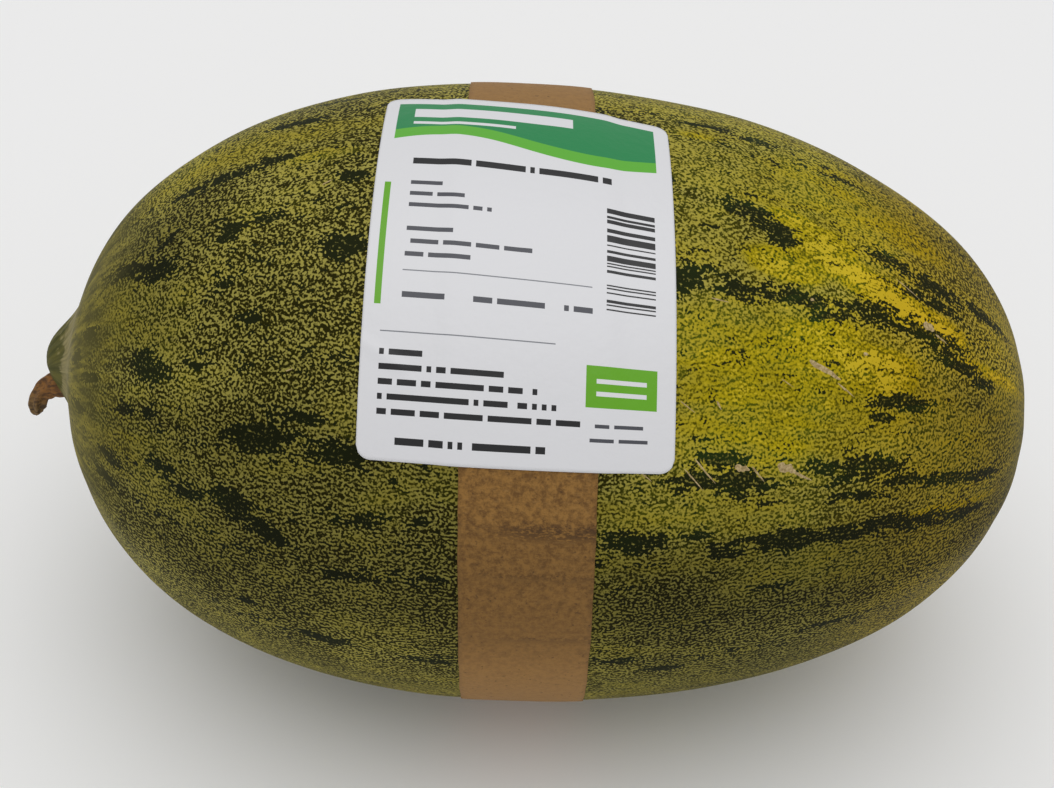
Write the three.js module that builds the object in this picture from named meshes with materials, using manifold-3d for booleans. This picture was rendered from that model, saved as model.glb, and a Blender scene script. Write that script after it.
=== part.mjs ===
// A piel de sapo melon lying on its side, with a paper band round its middle and a blank form label.
// Units are millimetres. +X runs along the fruit from the stem to the blossom end, the label faces
// -Y and up, and +Z is up. The origin is on the surface below, under the middle of the paper band.

import * as THREE from 'three';
import { mergeVertices } from 'three/addons/utils/BufferGeometryUtils.js';
import Module from 'manifold-3d';

const wasm = await Module();
wasm.setup();

// Fruit: two half ovals of one fullness, joined where the fruit is widest.
const FRUIT_RADIUS = 85.5;
const STEM_END_LENGTH = 121.7;
const BLOSSOM_END_LENGTH = 143.7;
const WIDEST_X = -6.8;
const FULLNESS = 2.2;

// Slow swells round the girth and the furrows that gather towards both ends, as shares of the radius.
const SWELL = 0.004;
const FURROW_COUNT = 11;
const FURROW_DEPTH = 0.022;

// Stem end: a knuckle that stands out of the round end, a little above and behind the axis.
const KNUCKLE_HEIGHT = 8.8;
const KNUCKLE_RADIUS = 11.7;
const KNUCKLE_STEEPNESS = 2.4;
const KNUCKLE_Y = 2.8;
const KNUCKLE_Z = 3.1;

// Blossom end: a round scar, slightly sunk, with a small boss in its middle.
const SCAR_RADIUS = 9;
const SCAR_DEPTH = 1.6;
const SCAR_BOSS_RADIUS = 3;
const SCAR_BOSS_HEIGHT = 1.2;

// Dried stem: it leaves the lower side of the knuckle and droops to a blunt, wider tip.
const STEM_ROOT = [-127, -1.2, -2.6];
const STEM_BEND = [-140, -1.6, -2.4];
const STEM_TIP = [-141.2, -4.2, -12.2];
const STEM_RADIUS = 1.95;
const STEM_FLARE = 2;
const STEM_RIBS = 5;
const STEM_RIB_DEPTH = 0.22;

// Paper band: a closed strip wound slightly askew.
const BAND_WIDTH = 33;
const BAND_THICKNESS = 0.6;
const BAND_MEAN_X = -1.5;
const BAND_SKEW = 3;
const BAND_SKEW_ANGLE = 30;

// Label: angles are measured round the fruit, from the front horizontal upwards. Its paper gathers
// a little over the rounder end of the fruit, so the right side is the shorter one.
const LABEL_LEFT_X = -41;
const LABEL_RIGHT_X = 34.5;
const LABEL_BOTTOM_ANGLE = 30;
const LABEL_TOP_LEFT_ANGLE = 105;
const LABEL_TOP_RIGHT_ANGLE = 98;
const LABEL_GATHER = 3;
const LABEL_THICKNESS = 0.6;
const LABEL_CORNER = 3.5;

// How the label steps down from the band to the rind, measured out from the band's edge.
const STEP_START = 4;
const STEP_END = 12;

// Gap between pieces that touch, and the depth of the small flat that the melon rests on.
const GAP = 0.3;
const FLAT_DEPTH = 1.4;

const SIDES = 72;
const RINGS = 48;
const RING_CROWDING = 0.1;
const BAND_COLUMNS = 4;
const LABEL_COLUMNS = 18;
const LABEL_CORNER_COLUMNS = 4;
const LABEL_ROWS = 20;
const STEM_SIDES = 15;
const STEM_RINGS = 10;

const BAND_LIFT = GAP + BAND_THICKNESS;
const AXIS_Z = FRUIT_RADIUS + BAND_LIFT - FLAT_DEPTH;

const radians = (degrees) => degrees * Math.PI / 180;
const mix = (a, b, share) => a + (b - a) * share;

// The station is the oval's own angle: 0 at the stem end, pi at the blossom end.
function stationAt(x) {
  const half = x < WIDEST_X ? STEM_END_LENGTH : BLOSSOM_END_LENGTH;
  const share = Math.pow(Math.abs(x - WIDEST_X) / half, FULLNESS / 2);
  return Math.acos(x < WIDEST_X ? share : -share);
}

// A point over the rind at a station and an angle round the fruit, raised by lift.
function overRind(station, angle, lift = 0) {
  const along = Math.cos(station);
  const half = along > 0 ? STEM_END_LENGTH : BLOSSOM_END_LENGTH;
  const reach = half * Math.pow(Math.abs(along), 2 / FULLNESS);
  const swell = 1 + SWELL * Math.cos(2 * angle - 0.6) + SWELL * Math.cos(3 * angle + 2 * along);
  const furrow = 0.5 - 0.5 * Math.cos(FURROW_COUNT * angle + 0.9 * Math.sin(2 * angle + 1));
  const girth = swell * (1 - FURROW_DEPTH * furrow * along * along);
  const radius = FRUIT_RADIUS * Math.pow(Math.sin(station), 2 / FULLNESS) * girth + lift;
  const y = -radius * Math.cos(angle);
  const z = radius * Math.sin(angle);
  let x = WIDEST_X - Math.sign(along) * reach;
  if (along > 0) {
    const off = Math.hypot(y - KNUCKLE_Y, z - KNUCKLE_Z) / KNUCKLE_RADIUS;
    x -= KNUCKLE_HEIGHT * Math.exp(-Math.pow(off, KNUCKLE_STEEPNESS));
  } else {
    x -= SCAR_DEPTH * Math.exp(-Math.pow(radius / SCAR_RADIUS, 4));
    x += SCAR_BOSS_HEIGHT * Math.exp(-Math.pow(radius / SCAR_BOSS_RADIUS, 2));
  }
  return [x, y, Math.max(AXIS_Z + z, BAND_LIFT - lift)];
}

// Where the middle of the band lies along the fruit at an angle round it.
const bandMiddle = (angle) => BAND_MEAN_X + BAND_SKEW * Math.cos(angle + radians(BAND_SKEW_ANGLE));

function geometryOf(points, triangles) {
  const geometry = new THREE.BufferGeometry();
  geometry.setAttribute('position', new THREE.Float32BufferAttribute(points.flat(), 3));
  geometry.setIndex(triangles.flat());
  return geometry;
}

// Two triangles for each cell between one closed ring of points and the next.
function joinRings(spans, sides, indexOf) {
  const triangles = [];
  for (let i = 0; i < spans; i++) {
    for (let j = 0; j < sides; j++) {
      const k = (j + 1) % sides;
      triangles.push([indexOf(i, j), indexOf(i + 1, k), indexOf(i, k)]);
      triangles.push([indexOf(i, j), indexOf(i + 1, j), indexOf(i + 1, k)]);
    }
  }
  return triangles;
}

// Rings of points closed by a single point at each end.
function spindle(rings, first, last) {
  const sides = rings[0].length;
  const points = [...rings.flat(), first, last];
  const triangles = joinRings(rings.length - 1, sides, (i, j) => i * sides + j);
  const end = (rings.length - 1) * sides;
  for (let j = 0; j < sides; j++) {
    const k = (j + 1) % sides;
    triangles.push([points.length - 2, j, k]);
    triangles.push([points.length - 1, end + k, end + j]);
  }
  return geometryOf(points, triangles);
}

function solidOf(geometry) {
  const bare = geometry.clone();
  bare.deleteAttribute('normal');
  bare.deleteAttribute('uv');
  const merged = mergeVertices(bare);
  const vertProperties = new Float32Array(merged.attributes.position.array);
  const triVerts = new Uint32Array(merged.index.array);
  return new wasm.Manifold(new wasm.Mesh({ numProp: 3, vertProperties, triVerts }));
}

function geometryFrom(solid) {
  const mesh = solid.getMesh();
  const geometry = new THREE.BufferGeometry();
  geometry.setAttribute('position', new THREE.Float32BufferAttribute(mesh.vertProperties, 3));
  geometry.setIndex(new THREE.Uint32BufferAttribute(mesh.triVerts, 1));
  return geometry;
}

function piece(name, geometry, color, roughness) {
  geometry.computeVertexNormals();
  const material = new THREE.MeshStandardMaterial({ color, roughness, metalness: 0 });
  const mesh = new THREE.Mesh(geometry, material);
  mesh.name = name;
  return mesh;
}

// The whole rind, with rings crowded towards both ends where the knuckle and the scar are.
function fruitGeometry() {
  const rings = [];
  for (let i = 1; i < RINGS; i++) {
    const share = i / RINGS;
    const station = Math.PI * (share - RING_CROWDING * Math.sin(2 * Math.PI * share));
    const ring = [];
    for (let j = 0; j < SIDES; j++) {
      ring.push(overRind(station, 2 * Math.PI * j / SIDES));
    }
    rings.push(ring);
  }
  return spindle(rings, overRind(0, 0), overRind(Math.PI, 0));
}

// The stem, or with a margin the socket that it stands in.
function stemGeometry(margin = 0) {
  const [root, bend, tip] = [STEM_ROOT, STEM_BEND, STEM_TIP].map(
    ([x, y, z]) => new THREE.Vector3(x, y, z + AXIS_Z));
  const path = new THREE.QuadraticBezierCurve3(root, bend, tip);
  const across = new THREE.Vector3();
  const up = new THREE.Vector3();
  const rings = [];
  for (let i = 0; i <= STEM_RINGS; i++) {
    const share = i / STEM_RINGS;
    const centre = path.getPoint(share);
    const ahead = path.getTangent(share);
    across.crossVectors(ahead, THREE.Object3D.DEFAULT_UP).normalize();
    up.crossVectors(across, ahead);
    const flare = 1 + 0.25 * Math.pow(share, 4) + STEM_FLARE * Math.pow(1 - share, 2);
    const ring = [];
    for (let j = 0; j < STEM_SIDES; j++) {
      const angle = 2 * Math.PI * j / STEM_SIDES;
      const rib = 1 + STEM_RIB_DEPTH * Math.cos(STEM_RIBS * angle) * share;
      const radius = STEM_RADIUS * flare * rib * (i === STEM_RINGS ? 0.8 : 1) + margin;
      ring.push(centre.clone()
        .addScaledVector(across, radius * Math.cos(angle))
        .addScaledVector(up, radius * Math.sin(angle)));
    }
    rings.push(ring.map((point) => point.toArray()));
  }
  const start = root.clone().addScaledVector(path.getTangent(0), -margin);
  const stop = tip.clone().addScaledVector(path.getTangent(1), 0.5 + margin);
  return spindle(rings, start.toArray(), stop.toArray());
}

// A closed strip. Each ring is the strip's section: the outer face, a cut edge, the inner face, an edge.
function bandGeometry() {
  const section = [];
  for (let i = 0; i <= BAND_COLUMNS; i++) {
    section.push([0.5 - i / BAND_COLUMNS, BAND_LIFT]);
  }
  for (let i = 0; i <= BAND_COLUMNS; i++) {
    section.push([i / BAND_COLUMNS - 0.5, GAP]);
  }
  const points = [];
  for (let j = 0; j < SIDES; j++) {
    const angle = 2 * Math.PI * j / SIDES;
    for (const [across, lift] of section) {
      const x = bandMiddle(angle) + across * BAND_WIDTH;
      points.push(overRind(stationAt(x), angle, lift));
    }
  }
  const count = section.length;
  return geometryOf(points, joinRings(SIDES, count, (i, j) => (i % SIDES) * count + j));
}

// Positions across the label: close together over the corner rounding, even between.
function labelColumns() {
  const half = (LABEL_RIGHT_X - LABEL_LEFT_X) / 2;
  const straight = half - LABEL_CORNER;
  const columns = [];
  for (let i = 0; i < LABEL_CORNER_COLUMNS; i++) {
    columns.push(straight + LABEL_CORNER * Math.cos(Math.PI / 2 * i / LABEL_CORNER_COLUMNS));
  }
  const left = columns.map((x) => -x);
  const middle = [];
  for (let i = 0; i <= LABEL_COLUMNS; i++) {
    middle.push(mix(-straight, straight, i / LABEL_COLUMNS));
  }
  return [...left, ...middle, ...columns.reverse()];
}

function labelPoint(across, share, lift) {
  const half = (LABEL_RIGHT_X - LABEL_LEFT_X) / 2;
  const over = Math.max(0, Math.abs(across) - half + LABEL_CORNER);
  const trim = LABEL_CORNER - Math.sqrt(LABEL_CORNER ** 2 - over ** 2);
  const topAngle = mix(LABEL_TOP_LEFT_ANGLE, LABEL_TOP_RIGHT_ANGLE, 0.5 + across / half / 2);
  const height = radians(topAngle - LABEL_BOTTOM_ANGLE);
  const cut = trim / FRUIT_RADIUS;
  const angle = radians(LABEL_BOTTOM_ANGLE) + cut + share * (height - 2 * cut);
  const gather = LABEL_GATHER * share * (0.5 + across / half / 2);
  const x = (LABEL_RIGHT_X + LABEL_LEFT_X) / 2 + across - gather;
  const beyond = Math.abs(x - bandMiddle(angle)) - BAND_WIDTH / 2;
  const step = THREE.MathUtils.smoothstep(beyond, STEP_START, STEP_END);
  return overRind(stationAt(x), angle, GAP + lift + BAND_LIFT * (1 - step));
}

// A bent slab with round corners that lies over the band and comes down to the rind beside it.
function labelGeometry() {
  const columns = labelColumns();
  const last = columns.length - 1;
  const points = [];
  for (const across of columns) {
    for (let j = 0; j <= LABEL_ROWS; j++) {
      points.push(labelPoint(across, j / LABEL_ROWS, LABEL_THICKNESS));
    }
    for (let j = LABEL_ROWS; j >= 0; j--) {
      points.push(labelPoint(across, j / LABEL_ROWS, 0));
    }
  }
  const count = 2 * (LABEL_ROWS + 1);
  const triangles = joinRings(last, count, (i, j) => i * count + j);
  for (let j = 0; j < LABEL_ROWS; j++) {
    for (const [i, a, b] of [[0, j, j + 1], [last, j + 1, j]]) {
      const outer = i * count;
      const inner = outer + count - 1;
      triangles.push([outer + a, outer + b, inner - b]);
      triangles.push([outer + a, inner - b, inner - a]);
    }
  }
  return geometryOf(points, triangles);
}

const socketed = solidOf(fruitGeometry()).subtract(solidOf(stemGeometry(GAP)));

const melon = new THREE.Group();
melon.add(
  piece('fruit', geometryFrom(socketed), '#5f5a1f', 0.5),
  piece('stem', stemGeometry(), '#8b6138', 0.85),
  piece('paper_band', bandGeometry(), '#7a572f', 0.9),
  piece('label', labelGeometry(), '#dcdde0', 0.45),
);

export default melon;
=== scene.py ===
import math
import random
from functools import partial

import bmesh
import bpy
from bpy.props import FloatProperty, FloatVectorProperty, IntProperty, PointerProperty
from mathutils import Matrix, Vector, noise


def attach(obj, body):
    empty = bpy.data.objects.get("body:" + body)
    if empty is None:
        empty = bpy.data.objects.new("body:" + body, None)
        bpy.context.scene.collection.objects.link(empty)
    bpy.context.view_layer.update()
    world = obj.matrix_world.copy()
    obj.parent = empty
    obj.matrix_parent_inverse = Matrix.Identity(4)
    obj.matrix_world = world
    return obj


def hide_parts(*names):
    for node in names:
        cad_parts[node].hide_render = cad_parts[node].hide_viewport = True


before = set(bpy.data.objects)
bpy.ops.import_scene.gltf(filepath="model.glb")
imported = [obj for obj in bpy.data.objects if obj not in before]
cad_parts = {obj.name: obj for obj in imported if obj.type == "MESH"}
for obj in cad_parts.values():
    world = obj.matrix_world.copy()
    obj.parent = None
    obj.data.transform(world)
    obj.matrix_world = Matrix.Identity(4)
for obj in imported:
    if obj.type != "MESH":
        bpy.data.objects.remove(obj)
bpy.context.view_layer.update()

bl_info = {
    "name": "Banded melon",
    "version": (1, 0, 0),
    "blender": (4, 5, 0),
    "location": "3D View > Sidebar > Melon",
    "description": "Dresses a piel de sapo melon with its rind, stem, paper band and blank label",
    "category": "Object",
}

MM = 0.001


def from_hex(code):
    """A six-figure sRGB colour as linear red, green and blue, with full alpha."""
    shares = [int(code[i:i + 2], 16) / 255 for i in (1, 3, 5)]
    return (*(c / 12.92 if c <= 0.04045 else ((c + 0.055) / 1.055) ** 2.4 for c in shares), 1.0)


def tint(name, description, code):
    """A colour setting whose default is a six-figure sRGB colour."""
    return FloatVectorProperty(
        name=name, description=description, subtype="COLOR", size=4, min=0.0, max=1.0, default=from_hex(code))


# Fruit, in millimetres: the same two half ovals that the solids are made from.
FRUIT_RADIUS = 85.5
STEM_END_LENGTH = 121.7
BLOSSOM_END_LENGTH = 143.7
WIDEST_X = -6.8
FULLNESS = 2.2
SWELL = 0.004
FURROW_COUNT = 11
FURROW_DEPTH = 0.022
KNUCKLE_HEIGHT = 8.8
KNUCKLE_RADIUS = 11.7
KNUCKLE_STEEPNESS = 2.4
KNUCKLE_X = -136
KNUCKLE_Y = 2.8
KNUCKLE_Z = 3.1
SCAR_RADIUS = 9
SCAR_DEPTH = 1.6
SCAR_BOSS_RADIUS = 3
SCAR_BOSS_HEIGHT = 1.2

# Creases that run down the knuckle into the shoulder, and the skin's slow unevenness.
CREASE_COUNT = 13
CREASE_DEPTH = 0.45
UNEVEN_DEPTH = 0.35
UNEVEN_LENGTH = 26

# Band and label, in millimetres and degrees round the fruit from the front horizontal.
BAND_WIDTH = 33
BAND_TOP_LIFT = 0.9
BAND_MEAN_X = -1.5
BAND_SKEW = 3
BAND_SKEW_ANGLE = 30
LABEL_LEFT_X = -41
LABEL_RIGHT_X = 34.5
LABEL_BOTTOM_ANGLE = 30
LABEL_TOP_LEFT_ANGLE = 105
LABEL_TOP_RIGHT_ANGLE = 98
LABEL_GATHER = 3
LABEL_CORNER = 3.5
LABEL_HALF_WIDTH = (LABEL_RIGHT_X - LABEL_LEFT_X) / 2
# Soft creases pressed up in the label: from place and angle to place and angle, and the height.
LABEL_CREASES = (((-43, 50, -31, 45), 0.35), ((-2, 66, 6, 75), 0.14), ((-36, 41, -28, 43), 0.2))
CREASE_WIDTH = 1.6
STEP_START = 1.5
STEP_END = 7

# Heights over the solid's rind. The visible paper is thinner than the solids, so the rind comes up
# to meet it and the band's outer face stays where the solid's is.
RIND_LIFT = 0.45
PAPER_THICKNESS = 0.35
LABEL_THICKNESS = 0.25
LAID_ON = 0.08

FLAT_DEPTH = 1.4
AXIS_Z = FRUIT_RADIUS + BAND_TOP_LIFT - FLAT_DEPTH

# Stem, in millimetres: its middle line, its radius, and its flare, ribs, lumps and cut face.
STEM_ROOT = Vector((-127, -1.2, -2.6 + AXIS_Z))
STEM_BEND = Vector((-140, -1.6, -2.4 + AXIS_Z))
STEM_TIP = Vector((-141.2, -4.2, -12.2 + AXIS_Z))
STEM_RADIUS = 1.95
STEM_FLARE = 2
STEM_RIBS = 5
STEM_RIB_SHARE = 0.22
STEM_LUMP = 0.16
STEM_DOME = 1.3
STEM_PIT = 0.5
STEM_CUTS = 40

# Steps of the sheets across and along, and how far their steps crowd towards the ends and corners.
BAND_STEPS = (22, 360)
LABEL_STEPS = (90, 110)
CORNER_CROWDING = 0.35
END_CROWDING = 0.07

# Unevenness of the sheets: the label's slow ripple, and the frayed and dipping edges of the band.
LABEL_RIPPLE = 0.12
BAND_FRAY = 0.25
BAND_DIP = 0.12

# Corky scratches stand up by the first and are sunk in at their edges by the second.
CORK_RISE = 0.16
CORK_SINK = 0.05

# Near the two ends, blotches are measured as if they lay at least this far from the fruit's axis.
END_RADIUS = 8.0

# The rind's own lengthways and crossways directions, which drawn-out markings follow, and the size of
# the speckle's waves and of its grain in shares of the spacing.
LIE_LENGTH = 110
LIE_ROUND = 60
WAVE_SHARE = 0.55
GRAIN_SHARE = 0.45

# Dirty creases of the band: angle round the fruit in degrees, half width in degrees, and strength.
KRAFT_CREASES = ((19.5, 2.3, 0.72), (11.0, 0.9, 0.25), (-3.0, 1.0, 0.3))

# Label print, in millimetres from its lower left corner. The rows are broken into dashes: place of the
# first dash, row, number of dashes, and height in millimetres.
LABEL_HEIGHT = 106.0
ROW_PITCH = 3.4
ROW_RISE = 0.5
DASH = 1.15
LIGHT_ROWS = (
    (8, 20, 7, 1.2), (8, 19, 12, 1.2), (8, 18, 18, 1.2), (8, 16, 10, 1.2), (8, 15, 27, 1.2), (8, 14, 15, 1.2),
    (8, 11, 10, 1.4), (23, 11, 16, 1.4), (42, 11, 7, 1.4), (48, 3, 11, 0.9), (47, 2, 13, 0.9))
BOLD_ROWS = (
    (8, 22, 44, 2.1), (4, 7, 9, 1.4), (4, 6, 26, 1.4), (4, 5, 33, 1.4), (4, 4, 37, 1.4), (4, 3, 42, 1.4),
    (8, 1, 31, 1.7))
# Ruled lines and blocks: left, low edge, width and height.
RULED_LINES = ((9.0, 44.4, 46.0, 0.3), (4.5, 29.6, 42.0, 0.3))
BAR_BLOCK = (58.5, 37.0, 12.0, 31.0)
GREEN_BLOCK = (54.0, 15.5, 17.0, 10.0)

# Dark blotches on the shown side: place along the fruit in millimetres, angle round it in degrees, length and
# width in millimetres, and the turn out of the fruit's length in degrees.
SHOWN_BLOTCHES = (
    (-65, 102, 20, 4.5, -4), (-55, 111, 18, 2, -6), (-79, 88, 16, 4, 3), (-68, 89, 12, 4, -3),
    (-91, 88, 7, 3, 0), (-46, 81, 10, 4.5, -8), (-76, 72, 8, 5.5, 0), (-66, 73, 9, 2.5, 0),
    (-47, 66, 15, 7, 0), (-105, 70, 14, 4.5, -14), (-95, 67, 14, 7, -4), (-94, 74, 9, 2.5, 40),
    (-77, 60, 7, 4, 20), (-96, 44, 14, 8, -12), (-69, 53, 6, 4, 0), (-65, 31.5, 19, 7, 4),
    (-45, 30.5, 19, 6, 0), (-56, 36, 15, 3, 0), (-107, 18, 9, 4, -12), (-109, 10, 9, 4, -18),
    (-92, 22, 10, 4, -10), (-84, 18, 10, 4.5, 0), (-72, 18, 13, 8, -35), (-63, 14, 14, 6, -16),
    (-40, 19, 10, 3.5, 6), (-45, 8, 10, 3.5, -8), (-50, -10, 17, 4, -3), (-23, -12, 14, 2, 0),
    (-82, 44, 5, 2, 0), (-70, -5, 8, 2, 0), (-115, 55, 6, 4, 0),
    (-120, 48, 5, 4, 0), (-114, 40, 8, 3, 0), (-118, 28, 6, 3, 0), (-102, 33, 5, 3.5, 0),
    (-95, 33, 5, 3.5, 0), (-25, 20, 8, 3, 0), (46, 32.5, 12, 4.5, 2), (76, 28.5, 9, 3.5, 0),
    (42, 103, 16, 3, 0), (56, 102, 16, 3, 0), (80, 97, 14, 2, 0), (51, 79, 13, 6, -8),
    (60, 74, 9, 6, -8), (56, 76, 12, 5, -10), (36, 63, 16, 8, -6), (47, 62, 12, 5, -12),
    (64, 62, 21, 4.5, -2), (68, 59, 10, 2.5, 0), (83, 62, 15, 6, -4), (98, 60, 20, 5, -4),
    (88, 76, 12, 5, -6), (101, 74, 18, 5, -4), (99, 69, 22, 3.5, -4), (117, 74, 14, 4, 0),
    (106, 55, 16, 4, -4), (115, 51, 8, 3, 0), (88, 44, 11, 4.5, 6), (95, 43, 8, 4, 0),
    (40, 29, 12, 5, -4), (50, 29, 15, 7, -8), (58, 28, 9, 3, 0), (86, 40.5, 7, 2, 0),
    (72, 31, 12, 4.5, 0), (83, 31, 18, 6, -2), (79, 25, 13, 3, 0), (93, 27, 9, 2.5, 0),
    (104, 26, 17, 4, -3), (116, 24, 16, 3.5, -4), (27, 18, 17, 6, -2), (41, 19, 9, 4, 0),
    (48, 16, 10, 4.5, 0), (64, 17, 19, 6, 0), (77, 17, 15, 5, 0), (89, 17.5, 17, 5, 0),
    (100, 16, 17, 4.5, -3), (112, 13, 15, 4, -6), (24, -10, 15, 4, 0), (56, 18, 9, 3, 0),
    (36, -14, 13, 3.5, 0), (62, 7, 10, 2, 0), (30, 48, 6, 2, 0), (80, -8, 16, 2.5, 0),
)

# Yellow zones on the shown side: place, angle, length, width, turn, and how far towards plain yellow.
SHOWN_GOLD = (
    (62, 46, 78, 46, 0, 0.8), (52, 23, 96, 17, 0, 0.36), (80, 86, 64, 46, 0, 0.6),
    (63, 79, 14, 6, -12, 1.35), (71, 73, 17, 14, -22, 1.65), (79, 69, 17, 9, -24, 1.55),
    (88, 66, 22, 10, -18, 1.65), (99, 63.5, 22, 7, -14, 1.5), (70, 56, 26, 8, 0, 1.0),
    (60, 68, 20, 8, -12, 1.4), (84, 50, 22, 13, -6, 1.7), (120, 55, 26, 3, -6, 1.2),
    (60, 70, 18, 5, -6, 1.1), (74, 53, 15, 7, 0, 1.25), (95, 87, 26, 14, -6, 0.9),
    (-70, 97, 66, 16, 0, 0.40), (-108, 60, 22, 24, 0, 0.25), (-106, 24, 26, 20, 0, 0.30),
    (-55, 88, 20, 5, 0, 0.50), (108, 17, 36, 3, -8, 0.9), (40, 98, 14, 4, 0, 0.7),
)

# Corky scratches: place, angle, length, width, and the turn out of the fruit's length.
CORK_MARKS = (
    (70.5, 49, 10, 1.7, -26), (76, 45.5, 6, 0.5, -34), (62, 31, 5.5, 2.6, -18), (66, 29.5, 6, 0.8, -24),
    (51, 31, 4.2, 2.0, -8), (55, 30, 5.5, 0.6, -48), (42, 30.5, 9, 0.5, -48), (39.5, 29, 8, 0.4, -46),
    (27, 30, 7, 0.45, -40), (44.5, 41.5, 2.6, 0.6, -60), (37, 41, 5, 0.35, -36), (98.5, 62, 3.6, 2.6, -20),
    (102, 60, 4, 0.7, -24), (44, 59.5, 5, 0.45, -8), (81, 53, 1.4, 1.1, 0), (67, 62, 1.2, 0.9, 0),
    (-53, 80, 3.2, 0.5, 30), (61, 46, 4, 0.3, -30), (93, 70, 8, 0.35, -30), (-58, 44, 2, 0.4, 20),
)

# Rows along the fruit, at angles round it, in which small blotches come up between the large ones.
STEM_HALF_ROWS = (-11, 9, 19, 30, 45, 66, 74, 88, 102, 112)
BLOSSOM_HALF_ROWS = (-11, 0, 17, 27, 61, 97, 103)
ROW_STRENGTH = 0.26
ROW_WIDTH = 3.2

# The sides that face away get blotches and yellow zones drawn at random, in rows along the fruit.
FAR_ROWS = 13
FAR_SIDE = (126, 316)
RANDOM_START = 27

# Painted light and shade of the skin round the fruit, at angles in degrees from the front horizontal: how far
# the skin's colour is darkened as painted shade or lightened as painted light.
STEM_HALF_PAINTED_SHADING = (
    (-90, 0.8), (-32, 0.92), (-14, 0.82), (4, 0.5), (32, 0.57), (44, 0.84), (58, 0.9), (88, 0.92),
    (120, 1.1), (200, 0.85), (270, 0.8))
BLOSSOM_HALF_PAINTED_SHADING = (
    (-90, 0.8), (-30, 0.75), (-9, 0.6), (3, 0.42), (12, 0.46), (23, 0.75), (34, 0.93), (90, 0.94),
    (120, 1.15), (200, 0.85), (270, 0.8))

# Stage: the floor's reach in millimetres, and the light in metres and watts.
FLOOR_REACH = 3000.0
SKY_STRENGTH = 0.6
SOFTBOX_SIZE = 2.6
SOFTBOX_POWER = 18.0
SOFTBOX_PLACE = (0.0, -0.15, 2.2)
LIT_PLACE = Vector((0, 0, 0.08))

# How far the picture's middle is from the fruit's widest place, in millimetres.
AIM_RIGHT = 5.64
AIM_UP = -0.5


def mix(a, b, share):
    return a + (b - a) * share


def smooth_step(value, low, high):
    """A soft step from 0 at low to 1 at high, whichever of the two is larger."""
    share = min(1.0, max(0.0, (value - low) / (high - low)))
    return share * share * (3 - 2 * share)


def curve(points, value):
    """A smooth curve through points given as (value, height), read at a value."""
    for (low, first), (high, second) in zip(points, points[1:]):
        if value <= high:
            return mix(first, second, smooth_step(value, low, high))
    return points[-1][1]


def station_at(x):
    """The oval's own angle at a place along the fruit: 0 at the stem end, pi at the blossom end."""
    half = STEM_END_LENGTH if x < WIDEST_X else BLOSSOM_END_LENGTH
    share = (abs(x - WIDEST_X) / half) ** (FULLNESS / 2)
    return math.acos(share if x < WIDEST_X else -share)


def over_rind(station, angle, lift):
    """A point over the fruit, in millimetres, raised off the solid's rind by lift."""
    along = math.cos(station)
    half = STEM_END_LENGTH if along > 0 else BLOSSOM_END_LENGTH
    reach = half * abs(along) ** (2 / FULLNESS)
    swell = 1 + SWELL * math.cos(2 * angle - 0.6) + SWELL * math.cos(3 * angle + 2 * along)
    furrow = 0.5 - 0.5 * math.cos(FURROW_COUNT * angle + 0.9 * math.sin(2 * angle + 1))
    girth = swell * (1 - FURROW_DEPTH * furrow * along * along)
    radius = FRUIT_RADIUS * math.sin(station) ** (2 / FULLNESS) * girth
    radius += lift * min(1.0, 30 * math.sin(station))
    y = -radius * math.cos(angle)
    z = radius * math.sin(angle)
    x = WIDEST_X - math.copysign(reach, along)
    if along > 0:
        off = math.hypot(y - KNUCKLE_Y, z - KNUCKLE_Z) / KNUCKLE_RADIUS
        x -= KNUCKLE_HEIGHT * math.exp(-off ** KNUCKLE_STEEPNESS)
        around = math.atan2(z - KNUCKLE_Z, y - KNUCKLE_Y)
        crease = 0.5 + 0.5 * math.cos(CREASE_COUNT * around + 1.3 * math.sin(3 * around))
        x += CREASE_DEPTH * crease * math.exp(-((off - 1.1) / 0.55) ** 2)
    else:
        x -= SCAR_DEPTH * math.exp(-(radius / SCAR_RADIUS) ** 4)
        x += SCAR_BOSS_HEIGHT * math.exp(-(radius / SCAR_BOSS_RADIUS) ** 2)
    point = Vector((x, y, z))
    outward = Vector((0.5 * x / half, y, z)).normalized()
    point += outward * UNEVEN_DEPTH * noise.noise(point / UNEVEN_LENGTH)
    return Vector((point.x, point.y, max(AXIS_Z + point.z, BAND_TOP_LIFT - lift)))


def band_middle(angle):
    """Where the band's middle lies along the fruit, at an angle round it in radians."""
    return BAND_MEAN_X + BAND_SKEW * math.cos(angle + math.radians(BAND_SKEW_ANGLE))


def corner_trim(across):
    """How much shorter the label is at its top and bottom where a round corner cuts it."""
    over = max(0.0, abs(across) - LABEL_HALF_WIDTH + LABEL_CORNER)
    return LABEL_CORNER - math.sqrt(max(0.0, LABEL_CORNER ** 2 - over ** 2))


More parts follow.
